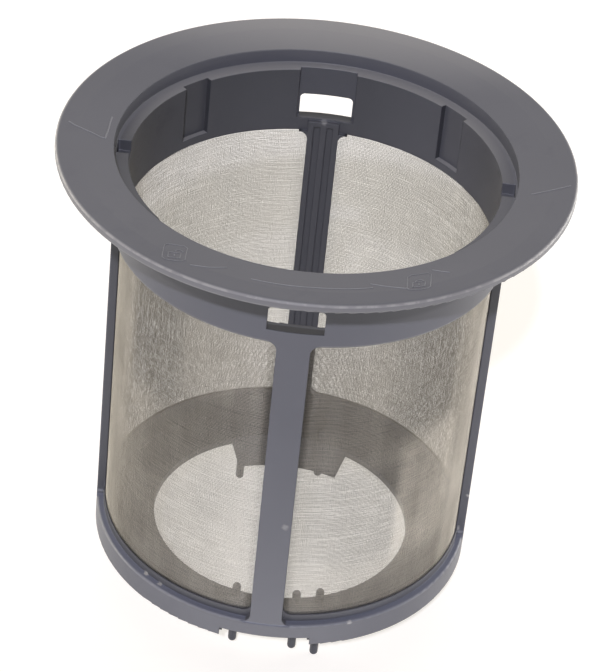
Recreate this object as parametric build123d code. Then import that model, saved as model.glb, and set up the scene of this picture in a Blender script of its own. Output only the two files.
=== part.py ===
"""Fine filter of a dishwasher sump: one moulded cage round one rolled sleeve of woven steel wire.

Lengths are millimetres. The axis is Z, and the filter stands on its longest guide post at Z = 0.
Every drop is measured down from the inner edge of the flange's top. Every radius is from the axis.
The four ribs stand on the X and Y axes, and the front rib is the one on -Y.
"""
from build123d import *
import math
import os

# Shell: the outside of collar, ribs and bottom ring, all one cylinder, with each wall given inwards from it
shell_radius = 38.3
collar_wall = 2.4
pocket_skin = 1.3
land_inset = 1.4
rib_wall = 3.2
ring_wall = 3.0
skirt_wall = 1.7
bore_radius = shell_radius - collar_wall
pocket_radius = shell_radius - pocket_skin
land_radius = shell_radius - land_inset
rib_inner_radius = shell_radius - rib_wall
ring_bore_radius = shell_radius - ring_wall
skirt_bore_radius = shell_radius - skirt_wall

# Seat: the counterbore inside the flange, with a ledge that carries the coarse strainer
seat_step = 0.5
seat_depth = 2.9
seat_wall = 1.7
seat_floor = 3.7
seat_radius = shell_radius + seat_step
cup_radius = seat_radius + seat_wall
cup_drop = seat_depth + seat_floor

# Flange: a wide rim that hangs the filter in the sump, dished so that water runs inwards
flange_radius = 50.0
flange_bend_share = 0.61
flange_rise = 0.85
flange_bend_rise = 0.68
flange_thickness = 1.9
rim_round = 0.6
flange_bend_radius = seat_radius + flange_bend_share * (flange_radius - seat_radius)

# Collar details: corner pockets, front and rear slots, and bayonet notches at the sides
collar_drop = 17.1
pocket_count = 4
pocket_width = 6.3
pocket_margin = 1.7
slot_recess_width = 11.5
slot_width = 10.7
slot_height = 5.1
slot_margin = 2.8
slot_corner = 0.9
notch_width = 4.5
notch_depth = 2.4
notch_rim = 0.4
pocket_drop = collar_drop - pocket_margin
slot_sill_drop = collar_drop - slot_margin
slot_top_drop = slot_sill_drop - slot_height

# Windows: one in the outside of the wall, and a shorter one in the land behind the sleeve
window_height = 67.1
land_height = 1.8
land_drop = collar_drop + window_height
ledge_drop = land_drop + land_height

# Ribs: four uprights with their foot and head corners rounded into the rings
rib_count = 4
rib_width = 6.3
rib_head_height = 2.4
window_corner = 1.8
rib_groove_width = 1.3
rib_groove_depth = 0.5
rib_groove_spacing = 2.6
rib_groove_margin = 1.2
rib_head_drop = collar_drop - rib_head_height

# Bottom ring: a hoop with an inward floor round the outlet
ring_height = 5.1
skirt_depth = 0.5
floor_thickness = 1.5
outlet_radius = 26.3
ring_edge_round = 0.4
floor_corner = 0.8
relief_width = 18.0
relief_height = 2.0
relief_depth = 2.7
ring_drop = ledge_drop + ring_height
floor_underside_drop = ring_drop - skirt_depth
floor_drop = floor_underside_drop - floor_thickness

# Outlet skirts: two curved aprons under the floor that enter the sump's socket
apron_setback = 0.3
apron_wall = 1.5
apron_length = 7.1
apron_root_width = 24.6
apron_tip_width = 20.8
apron_inner_radius = outlet_radius + apron_setback
apron_outer_radius = apron_inner_radius + apron_wall
apron_drop = floor_underside_drop + apron_length

# Guide posts: round pegs beside the aprons, each with its angle from the front and its reach under the floor
post_diameter = 1.7
post_offset = 1.2
post_head_height = 2.9
short_post_reach = 8.6
post_reach = 10.8
long_post_reach = 13.0
post_table = (
    (-14.0, post_reach),
    (11.5, post_reach),
    (21.6, long_post_reach),
    (166.0, short_post_reach),
    (201.6, post_reach),
)
post_circle_radius = outlet_radius + post_offset
post_head_drop = floor_drop - post_head_height
stand_drop = floor_underside_drop + max(reach for angle, reach in post_table)

# Sleeve: wire cloth rolled to a tube and moulded into collar, ribs and ring
sleeve_inset = 2.0
sleeve_thickness = 0.3
sleeve_bite_top = 1.2
sleeve_bite_bottom = 2.8
wire_width = 1.0
gap_columns = 5
gap_rows = 6
sleeve_radius = shell_radius - sleeve_inset
sleeve_outer_radius = sleeve_radius + sleeve_thickness

overcut = 1.0


def level(drop):
    """Height of a point that lies this far below the inner edge of the flange's top."""
    return stand_drop - drop


def revolved(points):
    """Solid of revolution from a closed outline of radius and height pairs."""
    with BuildPart() as part:
        with BuildSketch(Plane.XZ):
            with BuildLine():
                Polyline(*points, close=True)
            make_face()
        revolve(axis=Axis.Z)
    return part.part


def tube(inner, outer, top_drop, bottom_drop):
    """Upright tube between two radii and two drops."""
    top = level(top_drop)
    bottom = level(bottom_drop)
    return revolved([(inner, bottom), (outer, bottom), (outer, top), (inner, top)])


def upright_box(width, near, far, top_drop, bottom_drop, corner=0.0):
    """Box on the -Y side, from radius near to radius far, with its two top corners rounded."""
    height = bottom_drop - top_drop
    middle = (near + far) / 2
    with BuildPart() as part:
        with Locations((0, -middle, level(bottom_drop) + height / 2)):
            Box(width, far - near, height)
        if corner:
            fillet(part.edges().filter_by(Axis.Y).group_by(Axis.Z)[-1], corner)
    return part.part


def around(shape, count, start=0.0):
    """Copies of a shape, evenly spaced about the axis."""
    return [shape.rotate(Axis.Z, start + 360 * i / count) for i in range(count)]


def circles_at(body, radius):
    """The round edges of a turned body that lie at this radius."""
    circles = body.edges().filter_by(GeomType.CIRCLE)
    return circles.filter_by(lambda edge: abs(edge.radius - radius) < 1e-6)


def flange_and_collar():
    """Dished flange, seat ledge and collar, turned as one profile."""
    outline = [
        (seat_radius, level(0)),
        (flange_bend_radius, level(-flange_bend_rise)),
        (flange_radius, level(-flange_rise)),
        (flange_radius, level(flange_thickness - flange_rise)),
        (flange_bend_radius, level(flange_thickness - flange_rise)),
        (cup_radius, level(flange_thickness)),
        (cup_radius, level(cup_drop)),
        (shell_radius, level(cup_drop + cup_radius - shell_radius)),
        (shell_radius, level(collar_drop)),
        (bore_radius, level(collar_drop)),
        (bore_radius, level(seat_depth)),
        (seat_radius, level(seat_depth)),
    ]
    body = revolved(outline)
    return fillet(circles_at(body, flange_radius), rim_round)


def bottom_ring():
    """Hoop with the land behind the sleeve and the floor round the outlet."""
    outline = [
        (shell_radius, level(ledge_drop)),
        (shell_radius, level(ring_drop)),
        (skirt_bore_radius, level(ring_drop)),
        (skirt_bore_radius, level(floor_underside_drop)),
        (outlet_radius, level(floor_underside_drop)),
        (outlet_radius, level(floor_drop)),
        (ring_bore_radius, level(floor_drop)),
        (ring_bore_radius, level(land_drop)),
        (land_radius, level(land_drop)),
        (land_radius, level(ledge_drop)),
    ]
    body = revolved(outline)
    body = fillet(circles_at(body, shell_radius), ring_edge_round)
    return fillet(circles_at(body, ring_bore_radius).sort_by(Axis.Z)[0], floor_corner)


def window_blanks(inner, outer, bottom_drop):
    """The empty spaces between the ribs, with every corner rounded."""
    height = bottom_drop - collar_drop
    middle = level((collar_drop + bottom_drop) / 2)
    span = 2 * (outer + overcut)
    with BuildPart() as part:
        add(tube(inner, outer, collar_drop, bottom_drop))
        with Locations((0, 0, middle)):
            with PolarLocations(0, rib_count // 2, angular_range=180):
                Box(span, rib_width, height + overcut, mode=Mode.SUBTRACT)
        lines = part.edges().filter_by(GeomType.LINE)
        fillet(lines.filter_by(Axis.Z, reverse=True), window_corner)
    return part.part


def ribs():
    """Four uprights left between the windows, with heads above the collar's edge and grooved backs."""
    inside = rib_inner_radius - overcut
    wall = tube(rib_inner_radius, shell_radius, collar_drop, ledge_drop)
    wall -= window_blanks(land_radius, shell_radius + overcut, ledge_drop)
    wall -= window_blanks(inside, land_radius, land_drop)
    head = upright_box(rib_width, inside, land_radius, rib_head_drop, collar_drop)
    head &= tube(rib_inner_radius, land_radius, rib_head_drop, collar_drop)
    wall += around(head, rib_count)
    groove_far = rib_inner_radius + rib_groove_depth
    groove_top = rib_head_drop + rib_groove_margin
    groove_end = land_drop - rib_groove_margin
    groove = upright_box(rib_groove_width, inside, groove_far, groove_top, groove_end)
    for side in (-1, 1):
        pair = groove.moved(Location((side * rib_groove_spacing / 2, 0, 0)))
        wall -= around(pair, rib_count)
    return wall


def collar_cuts():
    """Everything cut from the collar: pockets, slots with their recesses, and notches."""
    inside = bore_radius - overcut
    top = seat_depth - overcut
    notch_drop = seat_depth + notch_depth
    reach = tube(inside, pocket_radius, seat_depth, pocket_drop)
    pocket = upright_box(pocket_width, inside, pocket_radius, top, pocket_drop)
    recess = upright_box(slot_recess_width, inside, pocket_radius, top, slot_sill_drop)
    slot = upright_box(slot_width, inside, cup_radius + overcut, slot_top_drop, slot_sill_drop, slot_corner)
    notch = upright_box(notch_width, inside, seat_radius - notch_rim, top, notch_drop)
    cuts = around(pocket & reach, pocket_count, 45)
    cuts += around(recess & reach, 2)
    cuts += around(slot, 2)
    cuts += around(notch, 2, 90)
    return cuts


def relief():
    """Shallow arch cut from the lower edge of the ring, under the front and rear ribs."""
    near = shell_radius - relief_depth
    far = shell_radius + overcut
    return upright_box(relief_width, near, far, ring_drop - relief_height, ring_drop + overcut)


def apron():
    """Curved apron under the floor, narrower at its tip."""
    with BuildPart() as part:
        with BuildSketch(Plane.XZ):
            with BuildLine():
                Polyline(
                    (-apron_root_width / 2, level(floor_underside_drop)),
                    (apron_root_width / 2, level(floor_underside_drop)),
                    (apron_tip_width / 2, level(apron_drop)),
                    (-apron_tip_width / 2, level(apron_drop)),
                    close=True,
                )
            make_face()
        extrude(amount=apron_outer_radius + overcut)
        wall = tube(apron_inner_radius, apron_outer_radius, floor_underside_drop, apron_drop)
        add(wall, mode=Mode.INTERSECT)
    return part.part


def post(angle, reach):
    """Round peg with domed ends, at this angle from the front and reaching this far under the floor."""
    radius = post_diameter / 2
    head = level(post_head_drop) - radius
    tip = level(floor_underside_drop + reach) + radius
    with BuildPart() as part:
        with BuildSketch(Plane.XZ):
            with BuildLine():
                CenterArc((0, head), radius, 0, 90)
                Line((0, head + radius), (0, tip - radius))
                CenterArc((0, tip), radius, 270, 90)
                Line((radius, tip), (radius, head))
            make_face()
        revolve(axis=Axis.Z)
    return part.part.moved(Location((0, -post_circle_radius, 0))).rotate(Axis.Z, angle)


def outlet_guides():
    """Both aprons and the posts beside them."""
    return around(apron(), 2) + [post(angle, reach) for angle, reach in post_table]


def sleeve_blank():
    """The rolled sleeve before its gaps, which is also the groove that holds it."""
    top_drop = collar_drop - sleeve_bite_top
    bottom_drop = land_drop + sleeve_bite_bottom
    return tube(sleeve_radius, sleeve_outer_radius, top_drop, bottom_drop)


def mesh_sleeve():
    """Wire cloth sleeve, drawn with broad wires: a grid of gaps in each window."""
    near = sleeve_radius - overcut
    far = sleeve_outer_radius + overcut
    half_rib = math.degrees(math.asin(rib_width / 2 / sleeve_radius))
    window_angle = 360 / rib_count - 2 * half_rib
    column_angle = window_angle / gap_columns
    row_height = window_height / gap_rows
    gap_width = math.radians(column_angle) * sleeve_radius - wire_width
    gap_height = row_height - wire_width
    gaps = []
    for row in range(gap_rows):
        top = collar_drop + row * row_height + wire_width / 2
        gap = upright_box(gap_width, near, far, top, top + gap_height)
        for column in range(gap_columns):
            start = half_rib + (column + 0.5) * column_angle
            gaps += around(gap, rib_count, start)
    return sleeve_blank() - gaps


def cage():
    """The whole moulding, with the groove that the sleeve was moulded into."""
    body = flange_and_collar() - collar_cuts()
    body += ribs() + bottom_ring()
    body -= around(relief(), 2)
    body += outlet_guides()
    return body - sleeve_blank()


os.makedirs("parts", exist_ok=True)
export_step(cage(), "parts/cage.step")
export_step(mesh_sleeve(), "parts/mesh_sleeve.step")
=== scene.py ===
"""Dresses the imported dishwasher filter: moulded cage, woven steel cloth, and the signs on its flange."""
import bmesh
import bpy
import math
import random
from functools import reduce
from mathutils import Matrix, Vector, noise
from types import SimpleNamespace


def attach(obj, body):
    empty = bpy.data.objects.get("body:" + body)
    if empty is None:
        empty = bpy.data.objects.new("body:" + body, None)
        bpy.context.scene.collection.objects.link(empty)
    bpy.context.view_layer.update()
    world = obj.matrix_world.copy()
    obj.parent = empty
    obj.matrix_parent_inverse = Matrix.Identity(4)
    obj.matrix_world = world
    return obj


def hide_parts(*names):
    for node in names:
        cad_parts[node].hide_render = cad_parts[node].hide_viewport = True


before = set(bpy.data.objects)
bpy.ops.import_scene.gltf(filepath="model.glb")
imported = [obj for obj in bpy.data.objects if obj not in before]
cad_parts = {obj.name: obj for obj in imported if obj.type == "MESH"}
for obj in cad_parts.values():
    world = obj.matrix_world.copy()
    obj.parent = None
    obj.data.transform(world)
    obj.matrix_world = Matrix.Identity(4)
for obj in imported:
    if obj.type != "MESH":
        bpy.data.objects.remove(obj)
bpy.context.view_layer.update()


# Camera: a long lens in front of the filter, 600 mm from its middle, looks down into it and is held a little
# aslant. The flange's inner edge is the level from which heights in this script are measured.
flange_inner_top = 0.1036
camera_elevation = math.radians(36.27)
camera_turn = math.radians(1.03)
camera_roll = math.radians(5.96)
camera_target = Vector((0.000267, 0.0, flange_inner_top - 0.042906))
camera_distance = 0.600
camera_frame = (
    Matrix.Rotation(camera_turn, 4, "Z")
    @ Matrix.Rotation(math.pi / 2 - camera_elevation, 4, "X")
    @ Matrix.Rotation(camera_roll, 4, "Z")
)
camera_back = camera_frame.to_3x3() @ Vector((0, 0, 1))

camera_data = bpy.data.cameras.new("photo_camera")
camera_data.lens = 161.33
camera_data.sensor_width = 36.0
camera_data.clip_start = 0.01
camera_data.clip_end = 20.0
camera = bpy.data.objects.new("photo_camera", camera_data)
camera.matrix_world = Matrix.Translation(camera_target + camera_distance * camera_back) @ camera_frame
bpy.context.collection.objects.link(camera)
bpy.context.scene.camera = camera


# Cage: one injection moulding in dark blue-grey polypropylene, with a fine satin skin.
# Its rim, edges, rear ledge and pocket sills have painted light and highlights, and a few specks are scuffs
# and glints.
# Its window sills and rear recess have painted bluish light; its inside, the collar under flange and cup, and
# sills painted shade.
flange_radius = 0.0500
cup_radius = 0.0405
shell_radius = 0.0383
pocket_radius = 0.0370
land_radius = 0.0369
bore_radius = 0.0359
ring_bore_radius = 0.0353
rib_half_width = 0.00315
pocket_half_width = 0.00315
recess_half_width = 0.00575
slot_half_width = 0.00535
rim_line_height = flange_inner_top + 0.00052
ledge_height = flange_inner_top - 0.0029
cup_middle_height = flange_inner_top - 0.0041
cup_base_height = flange_inner_top - 0.0060
slot_sill_height = flange_inner_top - 0.0143
pocket_sill_height = flange_inner_top - 0.0154
collar_line_height = flange_inner_top - 0.0170
window_sill_height = flange_inner_top - 0.0860
ring_line_height = flange_inner_top - 0.0862
floor_height = flange_inner_top - 0.0891
cage_dark = (0.100, 0.101, 0.115)
cage_light = (0.126, 0.127, 0.143)
# painted bluish light on the window sills and in the rear recess
blue_light_tint = (0.136, 0.142, 0.176)
# the pale of painted light and highlights, and of scuffs
pale_light_and_wear = (0.315, 0.305, 0.295)
skin_depth = 0.00004

# how strongly places get painted light and highlights, painted bluish light, and painted shade
rim_paleness = 0.34
rim_highlight_range = (1.0, 2.4)
rear_sheen_strength = 0.75
ledge_light = 0.48
edge_highlight_strength = 0.30
pocket_sill_light = 0.6
floor_light = (0.16, 0.32)
recess_blue_light = 0.12
inside_shade = (0.38, 0.17)
under_flange_shadow = 0.18
under_cup_shadow = 0.26
slot_sill_shade = 0.75
pocket_side_shade = 0.55

# from where to where they fade in or out, across the filter and from the front to the rear
rear_sheen_fade = (0.026, 0.054)
ledge_light_fade = (-0.002, 0.028)
floor_light_fade = (-0.016, -0.006)
floor_light_change = (-0.010, 0.015)
behind_rib_fade = (0.010, 0.016)
inside_shade_change = (0.006, 0.022)
rear_pockets_start = 0.010

# each speck, partly scuffs and partly painted glints: where it sits in millimetres, its size in millimetres,
# and its strength
speck_table = (
    ((-24.9, -27.2, 17.6), 0.8, 1.3),
    ((-21.9, -29.9, 17.6), 0.7, 1.1),
    ((16.6, -34.6, 17.4), 0.8, 1.3),
    ((37.9, -3.1, 27.6), 0.6, 1.3),
    ((36.6, -3.1, 19.0), 0.9, 1.0),
    ((1.9, -38.3, 43.0), 0.9, 0.5),
    ((0.0, 35.4, 88.9), 0.9, 0.6),
)


def new_material(name):
    """A node material with its Principled shader, ready to be wired."""
    material = bpy.data.materials.new(name)
    material.use_nodes = True
    shader = material.node_tree.nodes["Principled BSDF"]
    return material, material.node_tree, shader


def add_node(tree, kind, **values):
    """A node with its settings, and its unlinked inputs by name."""
    node = tree.nodes.new(kind)
    for key, value in values.items():
        if key.startswith("in_"):
            node.inputs[key[3:].replace("_", " ")].default_value = value
        else:
            setattr(node, key, value)
    return node


def add_mix(tree, first, second, **values):
    """A mix of two colours, of which the first may be left to a link."""
    mix = add_node(tree, "ShaderNodeMix", data_type="RGBA", **values)
    for name, color in (("A", first), ("B", second)):
        if color:
            mix.inputs[name].default_value = (*color, 1)
    return mix


def plastic_skin_group():
    """Fine moulded grain, with slow drifts of shade and rubbed patches."""
    group = bpy.data.node_groups.new("moulded_skin", "ShaderNodeTree")
    group.interface.new_socket("Grain Scale", in_out="INPUT", socket_type="NodeSocketFloat")
    for name in ("Shade", "Rubbed", "Grain"):
        group.interface.new_socket(name, in_out="OUTPUT", socket_type="NodeSocketFloat")
    entry = group.nodes.new("NodeGroupInput")
    leave = group.nodes.new("NodeGroupOutput")
    place = group.nodes.new("ShaderNodeTexCoord")
    grain = add_node(group, "ShaderNodeTexNoise", in_Detail=3.0, in_Roughness=0.6)
    drift = add_node(group, "ShaderNodeTexNoise", in_Scale=38.0, in_Detail=4.0, in_Roughness=0.55)
    patch = add_node(group, "ShaderNodeTexNoise", in_Scale=160.0, in_Detail=5.0, in_Roughness=0.7)
    rub = add_node(group, "ShaderNodeMapRange", in_From_Min=0.56, in_From_Max=0.72)
    for texture in (grain, drift, patch):
        group.links.new(place.outputs["Object"], texture.inputs["Vector"])
    group.links.new(entry.outputs["Grain Scale"], grain.inputs["Scale"])
    group.links.new(drift.outputs["Fac"], leave.inputs["Shade"])
    group.links.new(patch.outputs["Fac"], rub.inputs["Value"])
    group.links.new(rub.outputs["Result"], leave.inputs["Rubbed"])
    group.links.new(grain.outputs["Fac"], leave.inputs["Grain"])
    return group


def joined(group, operation, first, second=0.0):
    """The result of a math step on two outputs, or on outputs and numbers."""
    step = add_node(group, "ShaderNodeMath", operation=operation)
    for socket, value in zip(step.inputs, (first, second)):
        if isinstance(value, float):
            socket.default_value = value
        else:
            group.links.new(value, socket)
    return step.outputs["Value"]


def product(group, *factors):
    """The product of outputs and numbers."""
    return reduce(lambda first, second: joined(group, "MULTIPLY", first, second), factors)


def greatest(group, *masks):
    """The greatest of some masks at each point."""
    return reduce(lambda first, second: joined(group, "MAXIMUM", first, second), masks)


def smooth_ramp(group, source, start, stop, low=0.0, high=1.0):
    """A soft step of a value, from low at start to high at stop."""
    ramp = add_node(
        group, "ShaderNodeMapRange", interpolation_type="SMOOTHSTEP",
        in_From_Min=start, in_From_Max=stop, in_To_Min=low, in_To_Max=high,
    )
    group.links.new(source, ramp.inputs["Value"])
    return ramp.outputs["Result"]


def band(group, source, middle, half, fade):
    """One within a half-width of a value, and nought farther from it than the fade."""
    away = joined(group, "ABSOLUTE", joined(group, "SUBTRACT", source, middle))
    return smooth_ramp(group, away, half, half + fade, 1.0, 0.0)


def mask_sources(group):
    """What masks are made from: the point, X, Y and Z, |X| across, |Y| along, and the reach from the axis."""
    point = group.nodes.new("ShaderNodeTexCoord").outputs["Object"]
    parts = group.nodes.new("ShaderNodeSeparateXYZ")
    flat = group.nodes.new("ShaderNodeCombineXYZ")
    reach = add_node(group, "ShaderNodeVectorMath", operation="LENGTH")
    x, y, z = (parts.outputs[axis] for axis in "XYZ")
    group.links.new(point, parts.inputs["Vector"])
    group.links.new(x, flat.inputs["X"])
    group.links.new(y, flat.inputs["Y"])
    group.links.new(flat.outputs["Vector"], reach.inputs[0])
    across = joined(group, "ABSOLUTE", x)
    along = joined(group, "ABSOLUTE", y)
    away = reach.outputs["Value"]
    return SimpleNamespace(point=point, x=x, y=y, z=z, across=across, along=along, reach=away)


def pale_rim_and_highlight(group, spot):
    """The flange's rim, painted paler where light catches it, with a broken painted highlight line along it.
    """
    breaks = add_node(group, "ShaderNodeTexNoise", in_Scale=420.0, in_Detail=3.0)
    group.links.new(spot.point, breaks.inputs["Vector"])
    edge = smooth_ramp(group, spot.reach, flange_radius - 0.0007, flange_radius - 0.0002, 0.0, rim_paleness)
    line = band(group, spot.z, rim_line_height, 0.0001, 0.00018)
    broken = smooth_ramp(group, breaks.outputs["Fac"], 0.40, 0.60, *rim_highlight_range)
    return joined(group, "ADD", edge, product(group, line, broken, edge))


def flange_rear_sheen(group, spot):
    """A painted sheen on the flange's top towards the rear, where it mirrors the bright rear."""
    rear = smooth_ramp(group, spot.y, *rear_sheen_fade, 0.0, rear_sheen_strength)
    topside = joined(group, "GREATER_THAN", spot.z, flange_inner_top - 0.0002)
    return product(group, rear, topside)


def edge_highlights(group, spot):
    """Painted highlight lines where the collar and the ring end at the windows, but not across the ribs."""
    ring_line = band(group, spot.z, ring_line_height, 0.00012, 0.00015)
    collar_line = band(group, spot.z, collar_line_height, 0.0001, 0.00015)
    corner = smooth_ramp(group, spot.reach, shell_radius - 0.0006, shell_radius - 0.0004, 0.0, edge_highlight_strength)
    rib_side = joined(group, "MINIMUM", spot.across, spot.along)
    off_ribs = smooth_ramp(group, rib_side, rib_half_width + 0.00105, rib_half_width + 0.00205)
    return product(group, greatest(group, ring_line, collar_line), corner, off_ribs)


def inside_rear_pockets(group, spot):
    """One on the walls and sills of the two rear pockets, between the bore and the pockets' depth."""
    past_bore = smooth_ramp(group, spot.reach, bore_radius + 0.00005, bore_radius + 0.0001)
    within = smooth_ramp(group, spot.reach, pocket_radius + 0.0001, pocket_radius + 0.0003, 1.0, 0.0)
    rear = joined(group, "GREATER_THAN", spot.y, rear_pockets_start)
    return product(group, past_bore, within, rear)


def lit_floor(group, spot):
    """The near part of the floor, where light falls in by the front windows, but not behind the front rib."""
    on_floor = band(group, spot.z, floor_height, 0.0001, 0.0002)
    near = smooth_ramp(group, spot.y, *floor_light_fade, 1.0, 0.0)
    off_wall = smooth_ramp(
        group, spot.reach, ring_bore_radius - 0.0028, ring_bore_radius - 0.0003, 1.0, 0.0,
    )
    beside_rib = smooth_ramp(group, spot.across, *behind_rib_fade)
    return product(group, on_floor, near, off_wall, beside_rib)


def specks(group, spot):
    """A few pale specks with ragged outlines, partly scuffs and partly painted glints."""
    crumbs = add_node(group, "ShaderNodeTexNoise", in_Scale=1500.0, in_Detail=2.0)
    ragged = add_node(group, "ShaderNodeVectorMath", operation="MULTIPLY_ADD")
    raggedness = Vector((0.0008, 0.0008, 0.0008))
    ragged.inputs[1].default_value = raggedness
    group.links.new(spot.point, crumbs.inputs["Vector"])
    group.links.new(crumbs.outputs["Color"], ragged.inputs[0])
    group.links.new(spot.point, ragged.inputs[2])
    masks = []
    for centre, size, strength in speck_table:
        away = add_node(group, "ShaderNodeVectorMath", operation="DISTANCE")
        away.inputs[1].default_value = Vector(centre) / 1000 + raggedness / 2
        group.links.new(ragged.outputs["Vector"], away.inputs[0])
        masks.append(smooth_ramp(group, away.outputs["Value"], size / 3000, size / 1000, strength, 0.0))
    return greatest(group, *masks)


def darker_places(group, spot, unmarked):
    """Painted shade, as the colour lost: inside, under flange and cup, on slot sills and on the pockets'
    sides.
    """
    inner = smooth_ramp(group, spot.reach, shell_radius - 0.00035, shell_radius - 0.00005, 1.0, 0.0)
    inside = product(group, inner, unmarked, smooth_ramp(group, spot.x, *inside_shade_change, *inside_shade))
    on_cup = smooth_ramp(group, spot.reach, cup_radius - 0.0008, cup_radius - 0.0003, 0.0, under_flange_shadow)
    under_flange = product(group, on_cup, band(group, spot.z, cup_middle_height, 0.0020, 0.0006))
    slot_sills = product(
        group, band(group, spot.z, slot_sill_height, 0.00005, 0.0001),
        smooth_ramp(group, spot.along, bore_radius + 0.0003, bore_radius + 0.0006, 0.0, slot_sill_shade),
        smooth_ramp(group, spot.across, slot_half_width - 0.00005, slot_half_width + 0.00015, 1.0, 0.0),
    )
    aslant = product(group, joined(group, "SUBTRACT", spot.along, spot.across), math.sqrt(0.5))
    pocket_middle_height = pocket_sill_height + 0.0062
    pocket_sides = product(
        group, band(group, aslant, pocket_half_width, 0.00003, 0.00005), inside_rear_pockets(group, spot),
        band(group, spot.z, pocket_middle_height, 0.0061, 0.0001), pocket_side_shade,
    )
    high_on_collar = smooth_ramp(
        group, spot.z, cup_base_height - 0.0068, cup_base_height - 0.0054, 0.0, under_cup_shadow,
    )
    under_cup = product(
        group, high_on_collar, joined(group, "LESS_THAN", spot.z, cup_base_height),
        band(group, spot.reach, shell_radius, 0.0002, 0.0002),
    )
    return greatest(group, inside, under_flange, slot_sills, pocket_sides, under_cup)


def painted_light_and_wear_group():
    """Three masks. Pale: painted light, highlights and scuffs. Blue_Light: painted bluish light. Unshaded:
    what painted shade leaves.
    """
    group = bpy.data.node_groups.new("painted_light_and_wear", "ShaderNodeTree")
    for mask in ("Pale", "Unshaded", "Blue_Light"):
        group.interface.new_socket(mask, in_out="OUTPUT", socket_type="NodeSocketFloat")
    leave = group.nodes.new("NodeGroupOutput")
    spot = mask_sources(group)

    # painted light on the seat ledge, growing towards the rear
    on_ledge = band(group, spot.z, ledge_height, 0.00005, 0.00012)
    lit_ledge = product(group, on_ledge, smooth_ramp(group, spot.y, *ledge_light_fade))
    # painted highlights on the sills of the rear pockets
    on_pocket_sill = band(group, spot.z, pocket_sill_height, 0.00003, 0.00006)
    pocket_sill_highlights = product(group, on_pocket_sill, inside_rear_pockets(group, spot), pocket_sill_light)
    floor = lit_floor(group, spot)
    lighter_floor = product(group, floor, smooth_ramp(group, spot.x, *floor_light_change, *floor_light))
    pale = greatest(
        group, pale_rim_and_highlight(group, spot), flange_rear_sheen(group, spot), product(group, lit_ledge, ledge_light),
        edge_highlights(group, spot), pocket_sill_highlights, lighter_floor, specks(group, spot),
    )

    # painted bluish light on the window sills and, faintly, in the rear recess
    past_land = smooth_ramp(group, spot.reach, land_radius - 0.0002, land_radius)
    window_sills = product(group, band(group, spot.z, window_sill_height, 0.00015, 0.0002), past_land)
    rear_recess = product(
        group, smooth_ramp(group, spot.y, bore_radius + 0.0003, bore_radius + 0.0006),
        smooth_ramp(group, spot.reach, pocket_radius + 0.0001, pocket_radius + 0.0004, 1.0, 0.0),
        smooth_ramp(group, spot.across, recess_half_width - 0.00015, recess_half_width + 0.00015, 1.0, 0.0),
        recess_blue_light,
    )
    bluish_lit = greatest(group, window_sills, rear_recess)
    unmarked = joined(group, "SUBTRACT", 1.0, greatest(group, bluish_lit, lit_ledge, floor))

    group.links.new(pale, leave.inputs["Pale"])
    group.links.new(joined(group, "SUBTRACT", 1.0, darker_places(group, spot, unmarked)), leave.inputs["Unshaded"])
    group.links.new(bluish_lit, leave.inputs["Blue_Light"])
    return group


moulded_skin = plastic_skin_group()
painted_light_and_wear = painted_light_and_wear_group()


def plastic_material(name, dark, light):
    """Satin plastic between two shades, with painted light, highlights, bluish light and shade, and a few
    scuffs.
    """
    material, tree, shader = new_material(name)
    skin = add_node(tree, "ShaderNodeGroup", node_tree=moulded_skin)
    skin.inputs["Grain Scale"].default_value = 5200.0
    marks = add_node(tree, "ShaderNodeGroup", node_tree=painted_light_and_wear)
    shade = add_mix(tree, dark, light)
    shaded = add_node(tree, "ShaderNodeVectorMath", operation="SCALE")
    bluer = add_mix(tree, None, blue_light_tint)
    paler = add_mix(tree, None, pale_light_and_wear, clamp_factor=False)
    rough = add_node(tree, "ShaderNodeMapRange", in_To_Min=0.42, in_To_Max=0.54)
    softened = add_node(tree, "ShaderNodeBevel", samples=4, in_Radius=0.00035)
    bump = add_node(tree, "ShaderNodeBump", in_Strength=0.35, in_Distance=skin_depth)
    tree.links.new(skin.outputs["Shade"], shade.inputs["Factor"])
    tree.links.new(shade.outputs["Result"], shaded.inputs[0])
    tree.links.new(marks.outputs["Unshaded"], shaded.inputs["Scale"])
    tree.links.new(marks.outputs["Blue_Light"], bluer.inputs["Factor"])
    tree.links.new(shaded.outputs["Vector"], bluer.inputs["A"])
    tree.links.new(marks.outputs["Pale"], paler.inputs["Factor"])
    tree.links.new(bluer.outputs["Result"], paler.inputs["A"])
    tree.links.new(paler.outputs["Result"], shader.inputs["Base Color"])
    tree.links.new(skin.outputs["Rubbed"], rough.inputs["Value"])
    tree.links.new(rough.outputs["Result"], shader.inputs["Roughness"])
    tree.links.new(softened.outputs["Normal"], bump.inputs["Normal"])
    tree.links.new(skin.outputs["Grain"], bump.inputs["Height"])
    tree.links.new(bump.outputs["Normal"], shader.inputs["Normal"])
    shader.inputs["Specular IOR Level"].default_value = 0.4
    return material


cage_plastic = plastic_material("cage_plastic", cage_dark, cage_light)
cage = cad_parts["cage"]
for slot in cage.material_slots:
    slot.material = cage_plastic
if not cage.material_slots:
    cage.data.materials.append(cage_plastic)


# Wire cloth: very fine stainless steel cloth, rolled to a sleeve and moulded into collar, ribs and ring.
# It shows in four windows, so each window has its own panel, whose edges run into the plastic.
# Upright wires stand between level ones, which lie by turns outside and inside them.
cloth_radius = 0.03645
cloth_pitch = 0.00016
wire_radius = 0.0000285
wire_sides = 3
weave_offset = 0.00005
panel_rows = 426
panel_columns = 323
panel_start = math.radians(4.4)
panel_span = math.radians(81.2)
panel_top = flange_inner_top - 0.0167
panel_height = (panel_rows - 1) * cloth_pitch
panel_bottom = panel_top - panel_height
column_angle = panel_span / panel_columns
upright_rings = 64
level_segments = 21
map_margin = 0.01

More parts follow.
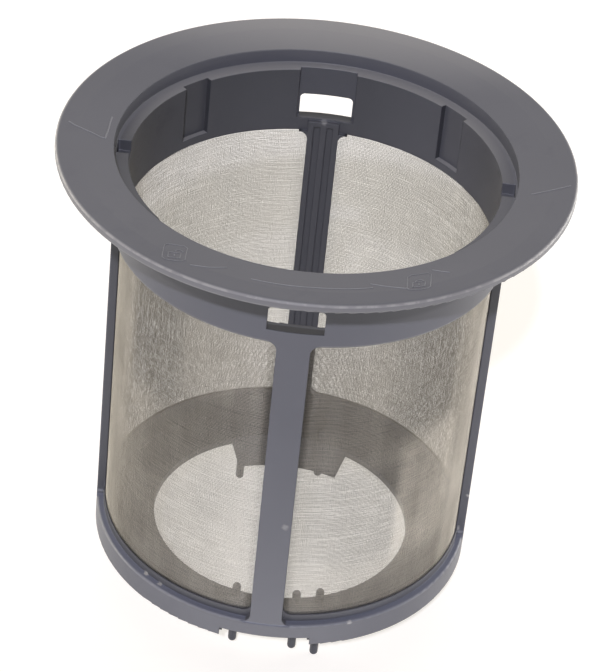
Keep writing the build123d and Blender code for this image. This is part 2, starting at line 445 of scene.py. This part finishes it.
# how far wires stray from their even places, in pitches, and how fast that changes round the cloth and up it
row_stray = 0.12
column_stray = 0.06
drift_turn = 1.05
drift_lift = 0.63
upright_grain = (3600.0, 900.0)
level_grain = (900.0, 4200.0)
cloth_seed = 11
cloth_chance = random.Random(cloth_seed)
noise.seed_set(cloth_seed)
row_shifts = [cloth_chance.uniform(-row_stray, row_stray) * cloth_pitch for _ in range(panel_rows)]
column_shifts = [
    cloth_chance.uniform(-column_stray, column_stray) * column_angle for _ in range(panel_columns)
]

steel_dark = (0.37, 0.345, 0.305)
steel_light = (0.515, 0.485, 0.435)
rear_tint = (1.0, 0.985, 0.93)

# how the wires' brightness changes, and from where to where across the filter or up it: painted shade in
# strips beside the side ribs, a painted sheen along the far right edge, and painted shade on the rear windows
strip_shade = -0.40
strip_start = (0.0165, 0.0235)
strip_end = (0.0300, 0.0322)
strip_rise = (0.056, 0.067)
edge_sheen = 0.12
edge_sheen_start = (0.0322, 0.0335)
rear_shade = (-0.07, -0.21)
rear_span = (-0.010, 0.020)

# patches of painted light and shade in the front windows: middle, half-width and fade across, the same
# upwards, and their change of brightness
cloth_light_and_shade = (
    ((0.0275, 0.0040, 0.0020), (0.0440, 0.0110, 0.0080), 0.40),
    ((0.0140, 0.0080, 0.0020), (0.0430, 0.0090, 0.0060), -0.30),
    ((-0.0125, 0.0065, 0.0040), (0.0860, 0.0140, 0.0080), 0.16),
)


def painted_wire_light(tree):
    """Brightness of the wires with their painted light and shade, one where none is painted, and a mask of
    the two rear windows.
    """
    spot = mask_sources(tree)
    front = joined(tree, "LESS_THAN", spot.y, 0.0)
    rear = joined(tree, "GREATER_THAN", spot.y, 0.0)
    strip = product(
        tree, smooth_ramp(tree, spot.across, *strip_start),
        smooth_ramp(tree, spot.across, *strip_end, 1.0, 0.0),
        smooth_ramp(tree, spot.z, *strip_rise, 0.0, strip_shade), front,
    )
    edge = product(tree, smooth_ramp(tree, spot.x, *edge_sheen_start, 0.0, edge_sheen), front)
    changes = [strip, edge, product(tree, smooth_ramp(tree, spot.x, *rear_span, *rear_shade), rear)]
    for across, upwards, change in cloth_light_and_shade:
        patch = product(tree, band(tree, spot.x, *across), band(tree, spot.z, *upwards))
        changes.append(product(tree, patch, front, change))
    return reduce(lambda first, second: joined(tree, "ADD", first, second), changes, 1.0), rear


def steel_material():
    """Drawn steel wire, warm grey, with stains and upright streaks, a little yellower at the rear, and with
    painted light and shade.
    """
    material, tree, shader = new_material("steel_wire")
    place = tree.nodes.new("ShaderNodeTexCoord")
    stretch = add_node(tree, "ShaderNodeMapping", in_Scale=(1.0, 1.0, 0.16))
    streak = add_node(tree, "ShaderNodeTexNoise", in_Scale=240.0, in_Detail=3.0, in_Roughness=0.55)
    stain = add_node(tree, "ShaderNodeTexNoise", in_Scale=90.0, in_Detail=4.0, in_Roughness=0.6)
    spread = add_node(tree, "ShaderNodeMapRange", in_From_Min=0.7, in_From_Max=1.3)
    shade = add_mix(tree, steel_dark, steel_light)
    yellower = add_mix(tree, None, rear_tint, blend_type="MULTIPLY")
    tone = add_node(tree, "ShaderNodeVectorMath", operation="SCALE")
    brightness, rear = painted_wire_light(tree)
    tree.links.new(place.outputs["Object"], stain.inputs["Vector"])
    tree.links.new(place.outputs["Object"], stretch.inputs["Vector"])
    tree.links.new(stretch.outputs["Vector"], streak.inputs["Vector"])
    tree.links.new(joined(tree, "ADD", stain.outputs["Fac"], streak.outputs["Fac"]), spread.inputs["Value"])
    tree.links.new(spread.outputs["Result"], shade.inputs["Factor"])
    tree.links.new(rear, yellower.inputs["Factor"])
    tree.links.new(shade.outputs["Result"], yellower.inputs["A"])
    tree.links.new(yellower.outputs["Result"], tone.inputs[0])
    tree.links.new(brightness, tone.inputs["Scale"])
    tree.links.new(tone.outputs["Vector"], shader.inputs["Base Color"])
    shader.inputs["Metallic"].default_value = 1.0
    shader.inputs["Roughness"].default_value = 0.45
    return material


def sweep(bm, steps, turn=0.0, lift=0.0, copies=False):
    """Sweeps all there is round the axis or up it, as one skin or as separate copies."""
    bmesh.ops.spin(
        bm, geom=bm.verts[:] + bm.edges[:] + bm.faces[:], cent=(0, 0, 0), axis=(0, 0, 1),
        dvec=(0, 0, lift / steps), angle=turn, steps=steps, use_duplicate=copies,
    )


def close_wire_ends(bm):
    """Caps the open ends of wires."""
    open_edges = [edge for edge in bm.edges if edge.is_boundary]
    bmesh.ops.holes_fill(bm, edges=open_edges, sides=wire_sides)


def settle_wires(bm, wire_shift, grain):
    """Moves each wire a little off its even place, as in cloth that was woven and rolled.
    The grain is how fast the drift changes round the cloth and up it, per metre."""
    for vertex in bm.verts:
        angle = math.atan2(vertex.co.y, vertex.co.x)
        turn, lift = wire_shift(angle, vertex.co.z)
        drift = noise.noise_vector(Vector((angle * cloth_radius * grain[0], vertex.co.z * grain[1], 0)))
        turn += drift_turn * drift.x * column_angle
        lift += drift_lift * drift.z * cloth_pitch
        vertex.co.rotate(Matrix.Rotation(turn, 3, "Z"))
        vertex.co.z += lift


def upright_wires():
    """The upright wires of a panel."""
    bm = bmesh.new()
    bmesh.ops.create_circle(bm, segments=wire_sides, radius=wire_radius)
    bmesh.ops.translate(bm, verts=bm.verts, vec=(cloth_radius, 0, panel_bottom))
    bmesh.ops.rotate(bm, verts=bm.verts, matrix=Matrix.Rotation(column_angle / 2, 3, "Z"))
    sweep(bm, upright_rings - 1, lift=panel_height)
    close_wire_ends(bm)
    sweep(bm, panel_columns - 1, turn=(panel_columns - 1) * column_angle, copies=True)
    settle_wires(
        bm, lambda angle, z: (column_shifts[int(angle / column_angle) % panel_columns], 0), upright_grain,
    )
    return bm


def level_wires(first_row, outwards):
    """Every second level wire of a panel, on one side of the upright wires."""
    bm = bmesh.new()
    steps = (panel_rows - 1 - first_row) // 2
    place = (cloth_radius + outwards, 0, panel_bottom + first_row * cloth_pitch)
    bmesh.ops.create_circle(bm, segments=wire_sides, radius=wire_radius)
    bmesh.ops.rotate(bm, verts=bm.verts, matrix=Matrix.Rotation(math.pi / 2, 3, "X"))
    bmesh.ops.translate(bm, verts=bm.verts, vec=place)
    sweep(bm, level_segments, turn=panel_span)
    close_wire_ends(bm)
    sweep(bm, steps, lift=2 * cloth_pitch * steps, copies=True)
    settle_wires(bm, lambda angle, z: (0, row_shifts[round((z - panel_bottom) / cloth_pitch)]), level_grain)
    return bm


def woven_panel():
    """One window's cloth, from +X round towards +Y, with a map unrolled from the cylinder."""
    mesh = bpy.data.meshes.new("cloth_weave")
    whole = bmesh.new()
    for part in (upright_wires(), level_wires(0, weave_offset), level_wires(1, -weave_offset)):
        part.to_mesh(mesh)
        part.free()
        whole.from_mesh(mesh)
    bmesh.ops.recalc_face_normals(whole, faces=whole.faces)
    unrolled = whole.loops.layers.uv.new("OFBake")
    map_size = 1 - 2 * map_margin
    for face in whole.faces:
        face.smooth = True
        for loop in face.loops:
            place = loop.vert.co
            across = math.atan2(place.y, place.x) / panel_span
            upwards = (place.z - panel_bottom) / panel_height
            loop[unrolled].uv = (map_margin + map_size * across, map_margin + map_size * upwards)
    whole.to_mesh(mesh)
    whole.free()
    return mesh


steel_wire = steel_material()
weave = woven_panel()
for quarter, window in enumerate(("right_rear", "left_rear", "left_front", "right_front")):
    cloth_mesh = weave.copy()
    cloth_mesh.name = "cloth_" + window
    cloth_mesh.transform(Matrix.Rotation(math.pi / 2 * quarter + panel_start, 4, "Z"))
    cloth_mesh.materials.append(steel_wire)
    cloth = bpy.data.objects.new("cloth_" + window, cloth_mesh)
    bpy.context.collection.objects.link(cloth)
    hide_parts("mesh_sleeve")
    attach(cloth, "root")


# Signs: raised in the flange with the moulding, 0.06 mm high and rubbed pale. Two padlocks and a bent arrow
# show which way the filter turns to lock, and a mark on each side shows where it enters the sump.
seat_radius = 0.0388
flange_bend_radius = 0.045632
flange_bend_rise = 0.00068
flange_rise = 0.00085
sign_height = 0.00006
sign_sunk = 0.00006
sign_ceiling = 0.10442
sign_step = 0.0006
sign_slope = 0.35
arrow_width = 0.0004
padlock_width = 0.00026
sign_dark = (0.20, 0.201, 0.217)
sign_light = (0.25, 0.251, 0.267)

# lines on the flange: radius in millimetres, and angle in degrees from the front towards the right
flange_lines = (
    [(46.3, -25.5), (45.0, -21.7), (43.0, -18.1)],
    [(44.7, -11.3), (44.57, -3.5), (44.33, 4.1), (44.29, 11.8), (44.22, 17.3)],
    [(42.76, 17.1), (44.37, 21.4), (45.8, 25.4)],
    [(41.4, 34.6), (42.6, 36.2), (43.7, 37.8)],
    [
        (48.0, -91.1), (46.6, -89.8), (43.2, -87.8), (41.6, -86.6),
        (40.5, -86.1), (40.2, -91.5), (40.4, -97.2),
    ],
    [(41.4, 82.5), (44.9, 85.1), (48.6, 88.1)],
)


def flange_top(radius):
    """Height of the flange's dished top at this radius."""
    if radius < flange_bend_radius:
        share = (radius - seat_radius) / (flange_bend_radius - seat_radius)
        return flange_inner_top + flange_bend_rise * share
    share = (radius - flange_bend_radius) / (flange_radius - flange_bend_radius)
    return flange_inner_top + flange_bend_rise + (flange_rise - flange_bend_rise) * share


def on_flange(radius, angle):
    """Point over the flange: radius in mm, angle in degrees from the front towards the right."""
    turn = math.radians(angle)
    return Vector((math.sin(turn), -math.cos(turn), 0)) * radius / 1000


def raised_line(bm, stops, width):
    """A low ridge along stops on the flange, with sloped sides."""
    places = []
    for first, second in zip(stops, stops[1:]):
        steps = max(1, round((on_flange(*second) - on_flange(*first)).length / sign_step))
        for step in range(steps):
            share = step / steps
            places.append(on_flange(*[a + (b - a) * share for a, b in zip(first, second)]))
    places.append(on_flange(*stops[-1]))
    count = len(places) - 1
    strip = bmesh.ops.create_grid(bm, x_segments=count, y_segments=1, size=0.5)["verts"]
    faces = list({face for vertex in strip for face in vertex.link_faces})
    for vertex in strip:
        index = round((vertex.co.x + 0.5) * count)
        along = places[min(index + 1, count)] - places[max(index - 1, 0)]
        aside = Vector((-along.y, along.x, 0)).normalized()
        vertex.co = places[index] + aside * (width / 2 if vertex.co.y > 0 else -width / 2)
        vertex.co.z = flange_top(vertex.co.xy.length) - sign_sunk
    raised = bmesh.ops.extrude_face_region(bm, geom=faces)["geom"]
    for vertex in [item for item in raised if isinstance(item, bmesh.types.BMVert)]:
        nearest = min(places, key=lambda place: (place.xy - vertex.co.xy).length)
        inset = Vector((nearest.x, nearest.y, vertex.co.z)) - vertex.co
        vertex.co += inset * sign_slope
        vertex.co.z = min(flange_top(vertex.co.xy.length) + sign_height, sign_ceiling)


def padlock_sign(bm, x, y, lean, bow):
    """A padlock in a frame round a point in mm, drawn across to the right and outwards to the front."""
    frame_line = [
        (-1.5, -2.7), (1.5, -2.7), (2.1, -2.1), (2.1, 2.1), (1.5, 2.7),
        (-1.5, 2.7), (-2.1, 2.1), (-2.1, -2.1), (-1.5, -2.7),
    ]
    body = [(-1.1, 0.1), (1.1, 0.1), (1.1, 1.8), (-1.1, 1.8), (-1.1, 0.1)]
    keyhole = [(0.0, 0.7), (0.0, 1.3)]
    for line in (frame_line, body, keyhole, bow):
        stops = []
        for across, out in line:
            place = (x + across, out - y - lean * across)
            stops.append((math.hypot(*place), math.degrees(math.atan2(*place))))
        raised_line(bm, stops, padlock_width)


def padlock_bow(across, out):
    """A half circle over a padlock, from its right end to its left one."""
    radius, steps = 0.75, 6
    turns = [math.pi * step / steps for step in range(steps + 1)]
    return [(across + radius * math.cos(turn), out - radius * math.sin(turn)) for turn in turns]


signs = bmesh.new()
padlock_sign(signs, -23.1, -38.3, 0.0, padlock_bow(0.75, -0.3))
padlock_sign(signs, 21.3, -38.6, 0.38, padlock_bow(0.0, 0.1))
for line in flange_lines:
    raised_line(signs, line, arrow_width)
bmesh.ops.recalc_face_normals(signs, faces=signs.faces)
sign_mesh = bpy.data.meshes.new("flange_signs")
signs.to_mesh(sign_mesh)
signs.free()
sign_mesh.materials.append(plastic_material("sign_plastic", sign_dark, sign_light))
flange_signs = bpy.data.objects.new("flange_signs", sign_mesh)
bpy.context.collection.objects.link(flange_signs)
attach(flange_signs, "root")


# Studio: the filter stands on a wide white sheet, under a sky that is brighter at the rear left. A key lamp
# shines from the front and two low lamps from the sides. A weak lamp adds the light that the sheet throws up
# in front. None of it belongs to the filter.
paper_half_size = 4.0
paper_glow = 0.62
sky_direction = Vector((-0.36, 0.80, 0.48)).normalized()
key_azimuth = math.radians(-3)
key_elevation = math.radians(43)
low_lamp_aim_height = 0.06
low_lamp_distance = 0.6
low_lamp_elevation = math.radians(5)
paper_white = (1.0, 0.98, 0.95)


def paper_material():
    """White paper. Where the camera sees it, straight or in a mirror, it is greyer and glows a little."""
    material, tree, shader = new_material("white_paper")
    place = tree.nodes.new("ShaderNodeTexCoord")
    path = tree.nodes.new("ShaderNodeLightPath")
    fibre = add_node(tree, "ShaderNodeTexNoise", in_Scale=30.0, in_Detail=3.0)
    shade = add_mix(tree, (0.93, 0.93, 0.93), (0.96, 0.96, 0.955))
    greyer = add_mix(tree, None, (0.50, 0.49, 0.47))
    straight = joined(tree, "MAXIMUM", path.outputs["Is Camera Ray"], path.outputs["Is Glossy Ray"])
    seen = joined(tree, "MAXIMUM", straight, path.outputs["Is Transmission Ray"])
    tree.links.new(place.outputs["Object"], fibre.inputs["Vector"])
    tree.links.new(fibre.outputs["Fac"], shade.inputs["Factor"])
    tree.links.new(shade.outputs["Result"], greyer.inputs["A"])
    tree.links.new(seen, greyer.inputs["Factor"])
    tree.links.new(greyer.outputs["Result"], shader.inputs["Base Color"])
    tree.links.new(joined(tree, "MULTIPLY", seen, paper_glow), shader.inputs["Emission Strength"])
    shader.inputs["Roughness"].default_value = 0.9
    shader.inputs["Specular IOR Level"].default_value = 0.1
    shader.inputs["Emission Color"].default_value = (1, 0.965, 0.92, 1)
    return material


def lamp(name, kind, energy, color, place, rotation):
    """A lamp at a place."""
    data = bpy.data.lights.new(name, kind)
    data.energy = energy
    data.color = color
    holder = bpy.data.objects.new(name, data)
    holder.location = place
    holder.rotation_euler = rotation
    bpy.context.collection.objects.link(holder)
    return holder


def direction(azimuth, elevation):
    """From the filter towards a lamp. Azimuth counts from the front towards the right."""
    level = math.cos(elevation)
    return Vector((math.sin(azimuth) * level, -math.cos(azimuth) * level, math.sin(elevation)))


def aimed(away):
    """The rotation of a lamp that shines from this direction."""
    return away.to_track_quat("Z", "Y").to_euler()


def area_lamp(name, energy, color, place, rotation, width, height):
    """A rectangular lamp."""
    holder = lamp(name, "AREA", energy, color, place, rotation)
    holder.data.shape = "RECTANGLE"
    holder.data.size = width
    holder.data.size_y = height
    return holder


paper_mesh = bpy.data.meshes.new("paper")
sheet = bmesh.new()
bmesh.ops.create_grid(sheet, x_segments=1, y_segments=1, size=paper_half_size)
sheet.to_mesh(paper_mesh)
sheet.free()
paper_mesh.materials.append(paper_material())
paper = bpy.data.objects.new("paper", paper_mesh)
bpy.context.collection.objects.link(paper)

sky = bpy.data.worlds.new("bright_rear")
bpy.context.scene.world = sky
sky.use_nodes = True
air = sky.node_tree
look = air.nodes.new("ShaderNodeTexCoord")
towards = add_node(air, "ShaderNodeVectorMath", operation="DOT_PRODUCT")
towards.inputs[1].default_value = sky_direction
air.links.new(look.outputs["Generated"], towards.inputs[0])
fall = smooth_ramp(air, towards.outputs["Value"], -0.25, 1.0, 0.02, 1.0)
air.links.new(fall, air.nodes["Background"].inputs["Strength"])
air.nodes["Background"].inputs["Color"].default_value = (1.0, 0.96, 0.90, 1)

key = lamp("key_lamp", "SUN", 2.3, (0.85, 0.86, 1.0), (0, 0, 0), aimed(direction(key_azimuth, key_elevation)))
key.data.angle = math.radians(2.0)
for name, azimuth, energy, color in (
    ("low_right", 116, 3.0, paper_white),
    ("low_left", -116, 1.5, (1.0, 0.95, 0.82)),
):
    away = direction(math.radians(azimuth), low_lamp_elevation)
    place = low_lamp_distance * away + Vector((0, 0, low_lamp_aim_height))
    area_lamp(name, energy, color, place, aimed(away), 0.5, 0.12)
bounce = area_lamp("paper_bounce", 0.028, paper_white, (0, -0.060, 0.002), (math.pi, 0, 0), 0.24, 0.036)
bounce.visible_camera = False

bpy.context.scene.view_settings.view_transform = "Standard"
